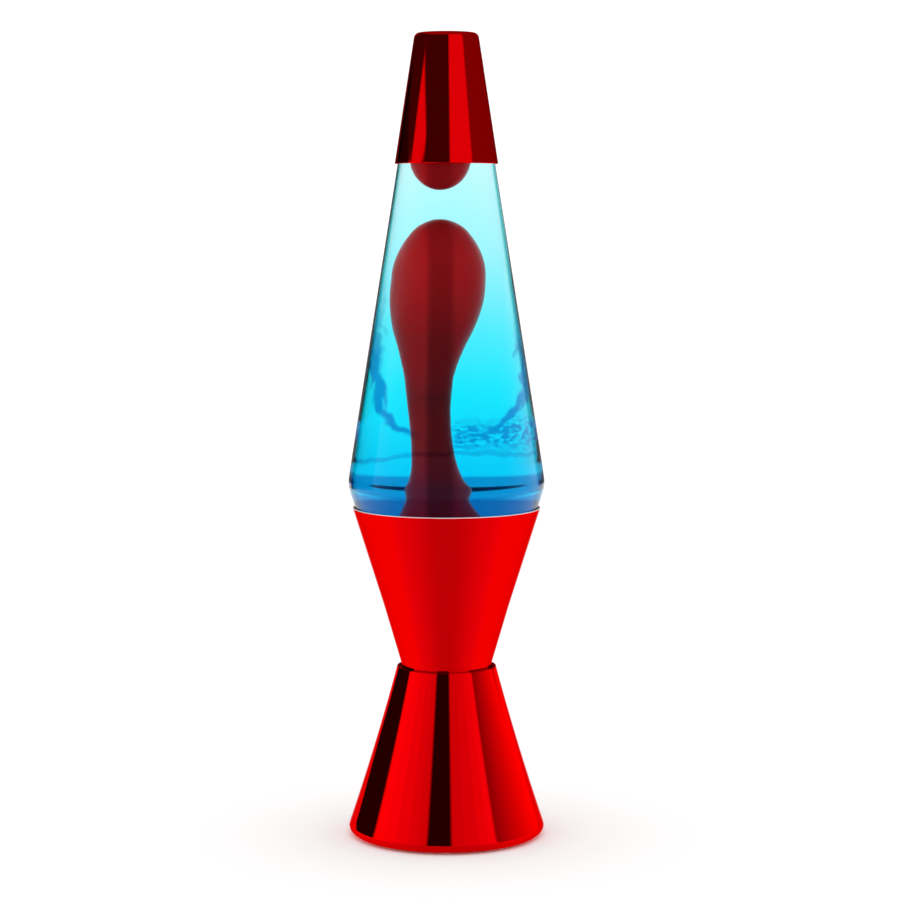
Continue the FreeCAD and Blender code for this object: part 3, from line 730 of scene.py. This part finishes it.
class LAMP_OT_cap_shell(bpy.types.Operator):
    """Spun cap over the bottle's neck"""

    bl_idname = "lamp.cap_shell"
    bl_label = "Cap shell"

    def execute(self, context):
        sizes = context.scene.lamp_sizes
        low, high = CAP[0].z / MM, CAP[1].z / MM
        sheet = sizes.sheet / MM
        rim = CAP[1].x / MM
        lean = (rim - CAP_TOP) / (high - low)
        level = sheet * math.hypot(1, lean)
        points = rounded([
            (0, high - sheet), (CAP_TOP + lean * sheet - level, high - sheet, 1.8), (rim - level, low, 0.3),
            (rim, low, 0.3), (CAP_TOP, high, 2.6), (0, high),
        ], False)
        piece = turned("cap_shell_spun", points, sizes.turn_steps, closed=False)
        piece.data.materials.append(red_lacquer(context.scene.lamp_colours))
        placed(piece, "cap", "red_metal", "cap_shell")
        return {"FINISHED"}


def knuckle(low, flank):
    """Where the bottle's lower line, of radius low at the cup's rim, meets its upper line."""
    z = (flank + FLANK_SLOPE * FLANK_Z - low + LOW_SLOPE * RIM_Z) / (LOW_SLOPE + FLANK_SLOPE)
    return low + LOW_SLOPE * (z - RIM_Z), z


def cavity(grown=0.0):
    """Corners of the bottle's inside, from the middle of its floor up to the shoulder, grown outwards."""
    low = SEAT - LOW_WALL + grown
    flank = FLANK - FLANK_WALL * math.hypot(1, FLANK_SLOPE) + grown
    widest, widest_z = knuckle(low, flank)
    floor_z = CAVITY_FLOOR_Z - grown
    shoulder_z = SHOULDER_Z - 1
    return [
        (0, floor_z), (low + LOW_SLOPE * (floor_z - RIM_Z), floor_z, 5),
        (widest, widest_z, KNUCKLE_ROUND - LOW_WALL),
        (flank - FLANK_SLOPE * (shoulder_z - FLANK_Z), shoulder_z, 10),
    ]


class LAMP_OT_bottle(bpy.types.Operator):
    """Clear glass bottle"""

    bl_idname = "lamp.bottle"
    bl_label = "Bottle"

    def execute(self, context):
        floor_z, lip_z = BOTTLE[0].z / MM, BOTTLE[1].z / MM
        widest, widest_z = knuckle(SEAT, FLANK)
        punt, neck, bead, bore = 19.5, 12.8, 13.3, 8
        outside = [
            (0, floor_z + 2), (punt, floor_z + 2, 2.5), (punt + 2, floor_z, 1),
            (SEAT + LOW_SLOPE * (floor_z - RIM_Z), floor_z, 4), (widest, widest_z, KNUCKLE_ROUND),
            (FLANK - FLANK_SLOPE * (SHOULDER_Z - FLANK_Z), SHOULDER_Z, 12), (neck, SHOULDER_Z + 8, 4),
            (neck, lip_z - 7, 0.8), (bead, lip_z - 6.2, 0.5), (bead, lip_z, 1.2), (bore, lip_z, 1.2),
            (bore, SHOULDER_Z + 7.5, 4),
        ]
        points = rounded(outside + cavity()[::-1], False)
        piece = turned("bottle_glass", points, context.scene.lamp_sizes.turn_steps, closed=False)
        piece.data.materials.append(bottle_glass(context.scene.lamp_colours))
        placed(piece, "globe", "clear_glass", "bottle")
        return {"FINISHED"}


class LAMP_OT_liquid(bpy.types.Operator):
    """Blue liquid, which reaches a little way into the glass so that no gap shows between them"""

    bl_idname = "lamp.liquid"
    bl_label = "Liquid"

    def execute(self, context):
        surface_z = LIQUID[1].z / MM
        floor, corner, widest, shoulder = cavity(WETTING)
        share = (surface_z - widest[1]) / (shoulder[1] - widest[1])
        surface = widest[0] + share * (shoulder[0] - widest[0])
        points = rounded([
            floor, corner, widest, (surface, surface_z + 0.7), (surface - 1, surface_z, 1.2),
            (0, surface_z),
        ], False)
        piece = turned("liquid_body", points, context.scene.lamp_sizes.turn_steps, closed=False)
        piece.data.materials.append(blue_liquid(context.scene.lamp_colours))
        placed(piece, "globe", "blue_liquid", "liquid")
        return {"FINISHED"}


class LAMP_OT_wax(bpy.types.Operator):
    """Wax pool with the balloon that rises from it, and the loose blob at the top"""

    bl_idname = "lamp.wax"
    bl_label = "Wax"

    def execute(self, context):
        wax = red_wax(context.scene.lamp_colours)
        steps = context.scene.lamp_sizes.turn_steps
        low, high = COLUMN_RADII[0][0], COLUMN_RADII[-1][0]
        rise = [high - (high - low) * (1 - i / COLUMN_RINGS) ** 2 for i in range(COLUMN_RINGS + 1)]
        points = [(0, low)] + [(blended(COLUMN_RADII, z), z) for z in rise]
        column = turned("wax_column_body", points, steps, closed=False)
        for vert in column.data.vertices:
            vert.co.x += blended(COLUMN_LEAN, vert.co.z / MM) * MM
        column.data.materials.append(wax)
        placed(column, "globe", "red_wax", "wax_column")

        middle = (BLOB[0] + BLOB[1]) / 2
        reach = (BLOB[1] - BLOB[0]) / 2
        bm = bmesh.new()
        bmesh.ops.create_uvsphere(bm, u_segments=96, v_segments=48, radius=1)
        bmesh.ops.scale(bm, vec=reach, verts=bm.verts)
        bmesh.ops.translate(bm, vec=middle, verts=bm.verts)
        blob = finished("wax_blob_body", bm)
        blob.data.materials.append(wax)
        placed(blob, "blob", "red_wax", "wax_blob")
        return {"FINISHED"}


# Finish, colour, roughness, scale and depth of the grain, and the pieces that have it
METAL_FITTINGS = [
    ("Zinc-plated steel", (0.62, 0.63, 0.62), 0.32, 900.0, 0.04,
     ("holder_hanger", "lock_washer", "plate_screws", "terminal_screws", "wire_coil")),
    ("Dull brass", (0.62, 0.43, 0.16), 0.3, 700.0, 0.04,
     ("holder_shell", "holder_contact", "nipple", "nipple_nut")),
    ("Nickel plate", (0.7, 0.67, 0.62), 0.18, 600.0, 0.02, ("bulb_cap",)),
    ("Solder", (0.5, 0.5, 0.5), 0.4, 900.0, 0.1, ("bulb_contact",)),
    ("Drawn wire", (0.3, 0.29, 0.28), 0.35, 1500.0, 0.02, ("bulb_filament",)),
    ("Rivet aluminium", (0.78, 0.78, 0.79), 0.3, 900.0, 0.04, ("waist_rivets",)),
    ("Lacquered tinplate", (0.72, 0.72, 0.7), 0.22, 500.0, 0.02, ("crown_cap",)),
]
OTHER_FITTINGS = [
    ("Black phenolic", (0.012, 0.011, 0.011), 0.35, 900.0, 0.05, ("holder_body",)),
    ("Black moulded plastic", (0.018, 0.018, 0.019), 0.5, 1800.0, 0.25, ("base_plate",)),
    ("Black rubber", (0.016, 0.016, 0.017), 0.75, 1400.0, 0.15, ("foot_pads", "cable_grommet")),
    ("Grey foam", (0.2, 0.2, 0.21), 0.95, 2500.0, 0.8, ("cap_pad",)),
    ("Sealing compound", (0.75, 0.74, 0.7), 0.5, 900.0, 0.05, ("crown_liner",)),
    ("Black vitrite", (0.01, 0.01, 0.012), 0.12, 500.0, 0.01, ("bulb_insulator",)),
]


class LAMP_OT_fittings(bpy.types.Operator):
    """Finishes on the fittings that keep their frame shapes"""

    bl_idname = "lamp.fittings"
    bl_label = "Fittings"

    def execute(self, context):
        finishes = [(bulb_glass(), ("bulb_envelope",)), (stem_glass(), ("bulb_stem",))]
        for metallic, fittings in ((1.0, METAL_FITTINGS), (0.0, OTHER_FITTINGS)):
            for name, colour, roughness, scale, bump, nodes in fittings:
                made = worked(name, colour, roughness, metallic=metallic, scale=scale, bump=bump)
                finishes.append((made.material, nodes))
        for material, nodes in finishes:
            for node in nodes:
                mesh = NODES[node].data
                mesh.materials.clear()
                mesh.materials.append(material)
        return {"FINISHED"}


# Stage

CAMERA_PLACE = (0.0016, -1.18, 0.29)
CAMERA_TILT = 5.4
CAMERA_LENS = 103.3

# (azimuth in degrees, brightness after it) round the ring, for the base and for the cap
PANELS = [
    (-180, 1.0), (-147, 0.015), (-93, 0.85), (-78, 0.8), (-62, 0.7), (-46, 0.62), (-34, 0.55), (-23, 0.015),
    (6, 0.54), (22, 0.6), (38, 0.68), (50, 0.76), (60, 0.22),
]
PANELS_END = 140
UPPER_PANELS = [(-180, 0.25), (-142, 0.04), (8, 0.62), (60, 0.18), (150, 0.25)]
PANEL_RADIUS, PANEL_HEIGHT = 0.9, 1.2
PANEL_STRENGTH = 1.28

# (height in millimetres, azimuth) of the two sides of the ragged panel in the cap
LEFT_SIDE = [(500, -88), (520, -88), (584, -84), (634, -78), (670, -76)]
RIGHT_SIDE = [
    (500, -64), (534, -58), (565, -56), (580, -51), (597, -48), (611, -55), (623, -64), (636, -79),
    (670, -79),
]
SIDES_LOW, SIDES_HIGH = 500, 670
RAGGED_TOP = 646
UPPER_FROM = 500
REAR_DIM_FROM = 80
RIGHT_DIM_FROM = 360

# (share of a turn from behind to in front, brightness) of the floor in glossy metal, darker in front where
# the lamp's shadow is painted
MIRRORED_FLOOR_SHADE = [
    (0.25, 1.0), (0.2917, 0.97), (0.333, 0.84), (0.375, 0.78), (0.4167, 0.67), (0.4583, 0.59), (0.5, 0.56),
]


def share_of_turn(azimuth):
    """Where an azimuth of -180 to 180 degrees lies in a turn of 0 to 1."""
    return (azimuth + 180) / 360


def bands(stops, edge=2.0):
    """Ramp stops for (azimuth in degrees, brightness after it) bands that start at -180 degrees."""
    result = [(0.0, stops[0][1])]
    for (azimuth, value), before in zip(stops[1:], stops):
        result.append((share_of_turn(azimuth - edge), before[1]))
        result.append((share_of_turn(azimuth + edge), value))
    return result


def around_lamp(shader):
    """The turn about the lamp, from 0 behind it through 0.5 in front of it, and the height."""
    place = shader.add("ShaderNodeTexCoord")
    axes = shader.add("ShaderNodeSeparateXYZ")
    shader.join(place.outputs["Object"], axes.inputs[0])
    forward = times(shader.tree, axes.outputs["Y"], -1.0)
    azimuth = math_node(shader.tree, "ARCTAN2", axes.outputs["X"], forward)
    turn = math_node(shader.tree, "ADD", math_node(shader.tree, "DIVIDE", azimuth, 2 * math.pi), 0.5)
    return turn, axes.outputs["Z"]


def mirrored(tree):
    """1 for rays that a surface reflects, 0 for all others."""
    path = tree.nodes.new("ShaderNodeLightPath")
    straight = math_node(tree, "SUBTRACT", 1.0, path.outputs["Is Transmission Ray"])
    return times(tree, path.outputs["Is Glossy Ray"], straight)


def ragged_panel(shader, turn, height):
    """The bright panel with uneven sides that the cap mirrors, and 0 round it."""
    tree = shader.tree
    share = shader.add("ShaderNodeMapRange")
    share.inputs["From Min"].default_value = SIDES_LOW * MM
    share.inputs["From Max"].default_value = SIDES_HIGH * MM
    shader.join(height, share.inputs["Value"])
    edges = []
    for side in (LEFT_SIDE, RIGHT_SIDE):
        ramp = soft_ramp(tree, [
            ((z - SIDES_LOW) / (SIDES_HIGH - SIDES_LOW), share_of_turn(azimuth)) for z, azimuth in side
        ])
        shader.join(share.outputs["Result"], ramp.inputs["Fac"])
        edges.append(ramp.outputs["Color"])
    after = past(tree, turn, edges[0], 100.0)
    before = past(tree, edges[1], turn, 100.0)
    below = past(tree, RAGGED_TOP * MM, height, 200.0)
    return times(tree, after, before, below, 0.62)


def lower_panels(shader, turn, height):
    """The panels that the base mirrors, dimmer behind the lamp and, higher up, on its right."""
    tree = shader.tree
    ramp = soft_ramp(tree, bands(PANELS, 1.5) + [(share_of_turn(PANELS_END), 1.0), (1.0, 1.0)])
    shader.join(turn, ramp.inputs["Fac"])
    from_front = math_node(tree, "ABSOLUTE", math_node(tree, "SUBTRACT", turn, 0.5), 0.0)
    behind = past(tree, from_front, 0.35, 40.0)
    raised = past(tree, height, REAR_DIM_FROM * MM, 50.0)
    dim = times(tree, behind, raised, 0.86)
    dimmed = mixed(shader, "MIX", dim, ramp.outputs["Color"], (0.0, 0.0, 0.0))
    right = past(tree, turn, 0.68, 40.0)
    high = past(tree, height, RIGHT_DIM_FROM * MM, 50.0)
    return mixed(shader, "MIX", times(tree, right, high), dimmed, (0.18, 0.18, 0.18))


class LAMP_OT_stage(bpy.types.Operator):
    """Pale floor, studio surroundings and camera"""

    bl_idname = "lamp.stage"
    bl_label = "Stage"

    def execute(self, context):
        scene = context.scene
        scene.view_settings.view_transform = "Standard"
        self.surroundings(scene)
        self.floor()
        self.panels()
        camera = bpy.data.objects.new("Camera", bpy.data.cameras.new("Camera"))
        camera.location = CAMERA_PLACE
        camera.rotation_euler = (math.radians(90 - CAMERA_TILT), 0, 0)
        camera.data.lens = CAMERA_LENS
        camera.data.sensor_width = 36
        camera.data.clip_end = 50
        scene.collection.objects.link(camera)
        scene.camera = camera
        return {"FINISHED"}

    def floor(self):
        """Pale floor, which glossy metal mirrors darker in front of the lamp than behind it: a painted
        shadow of the lamp that only reflections show.
        """
        bm = bmesh.new()
        bmesh.ops.create_circle(bm, cap_ends=True, segments=96, radius=6)
        floor = finished("floor", bm, smooth=False)
        shader = worked(
            "Pale floor", (0.95, 0.95, 0.95), 0.6, scale=300.0, color_variation=0.02, bump=0,
            Specular_IOR_Level=0.0,
        )
        turn, _ = around_lamp(shader)
        other_side = [(1 - place, value) for place, value in MIRRORED_FLOOR_SHADE[-2::-1]]
        ramp = soft_ramp(shader.tree, [(0.0, 1.0), *MIRRORED_FLOOR_SHADE, *other_side, (1.0, 1.0)])
        shader.join(turn, ramp.inputs["Fac"])
        # Glossy rays see this emission instead of the floor, with the painted shadow of the lamp in front
        glow = shader.add("ShaderNodeEmission")
        shader.join(ramp.outputs["Color"], glow.inputs["Color"])
        mix = shader.add("ShaderNodeMixShader")
        shader.join(mirrored(shader.tree), mix.inputs["Fac"])
        shader.join(shader.principled.outputs[0], mix.inputs[1])
        shader.join(glow.outputs[0], mix.inputs[2])
        shader.join(mix.outputs[0], shader.output.inputs["Surface"])
        shader.material.cycles.emission_sampling = "NONE"
        floor.data.materials.append(shader.material)

    def panels(self):
        """Ring of bright panels and dark gaps that only glossy surfaces see."""
        bm = bmesh.new()
        bmesh.ops.create_cone(
            bm, segments=180, radius1=PANEL_RADIUS, radius2=PANEL_RADIUS, depth=PANEL_HEIGHT,
        )
        bmesh.ops.translate(bm, vec=(0, 0, PANEL_HEIGHT / 2), verts=bm.verts)
        ring = finished("panels", bm)
        for sight in ("camera", "diffuse", "transmission", "volume_scatter", "shadow"):
            setattr(ring, "visible_" + sight, False)
        shader = Shader("Panels")
        tree = shader.tree
        turn, height = around_lamp(shader)
        upper = soft_ramp(tree, bands(UPPER_PANELS))
        shader.join(turn, upper.inputs["Fac"])
        upper = math_node(tree, "MAXIMUM", upper.outputs["Color"], ragged_panel(shader, turn, height))
        climb = past(tree, height, UPPER_FROM * MM, 50.0)
        glow = shader.add("ShaderNodeEmission")
        glow.inputs["Strength"].default_value = PANEL_STRENGTH
        colour = mixed(shader, "MIX", climb, lower_panels(shader, turn, height), upper)
        shader.join(colour, glow.inputs["Color"])
        shader.join(glow.outputs[0], shader.output.inputs["Surface"])
        shader.material.cycles.emission_sampling = "NONE"
        ring.data.materials.append(shader.material)

    def surroundings(self, scene):
        """A white room, whose ceiling is dark to glossy surfaces."""
        world = bpy.data.worlds.new("Studio")
        scene.world = world
        world.use_nodes = True
        tree = world.node_tree
        tree.nodes.clear()
        room = tree.nodes.new("ShaderNodeBackground")
        room.inputs["Color"].default_value = (1, 1, 1, 1)
        room.inputs["Strength"].default_value = 1.15
        ceiling = tree.nodes.new("ShaderNodeBackground")
        ceiling.inputs["Color"].default_value = (0.3, 0.3, 0.3, 1)
        mix = tree.nodes.new("ShaderNodeMixShader")
        tree.links.new(mirrored(tree), mix.inputs["Fac"])
        tree.links.new(room.outputs[0], mix.inputs[1])
        tree.links.new(ceiling.outputs[0], mix.inputs[2])
        output = tree.nodes.new("ShaderNodeOutputWorld")
        tree.links.new(mix.outputs[0], output.inputs["Surface"])


PIECES = (
    LAMP_OT_foot_cone, LAMP_OT_upper_cup, LAMP_OT_cap_shell, LAMP_OT_bottle, LAMP_OT_liquid, LAMP_OT_wax,
    LAMP_OT_fittings, LAMP_OT_stage,
)


class LAMP_PT_panel(bpy.types.Panel):
    """Lists the lamp's settings and its pieces"""

    bl_idname = "LAMP_PT_panel"
    bl_label = "Lava lamp"
    bl_space_type = "VIEW_3D"
    bl_region_type = "UI"
    bl_category = "Lava lamp"

    def draw(self, context):
        for settings in (context.scene.lamp_sizes, context.scene.lamp_colours):
            for key in settings.bl_rna.properties.keys():
                if key not in {"rna_type", "name"}:
                    self.layout.prop(settings, key)
        for piece in PIECES:
            self.layout.operator(piece.bl_idname)


CLASSES = (LampSizes, LampColours, *PIECES, LAMP_PT_panel)


def register():
    for cls in CLASSES:
        bpy.utils.register_class(cls)
    bpy.types.Scene.lamp_sizes = PointerProperty(type=LampSizes)
    bpy.types.Scene.lamp_colours = PointerProperty(type=LampColours)


def unregister():
    del bpy.types.Scene.lamp_colours
    del bpy.types.Scene.lamp_sizes
    for cls in reversed(CLASSES):
        bpy.utils.unregister_class(cls)


def main():
    register()
    grain_group()
    for piece in PIECES:
        _, name = piece.bl_idname.split(".")
        getattr(bpy.ops.lamp, name)()


if __name__ == "__main__":
    main()
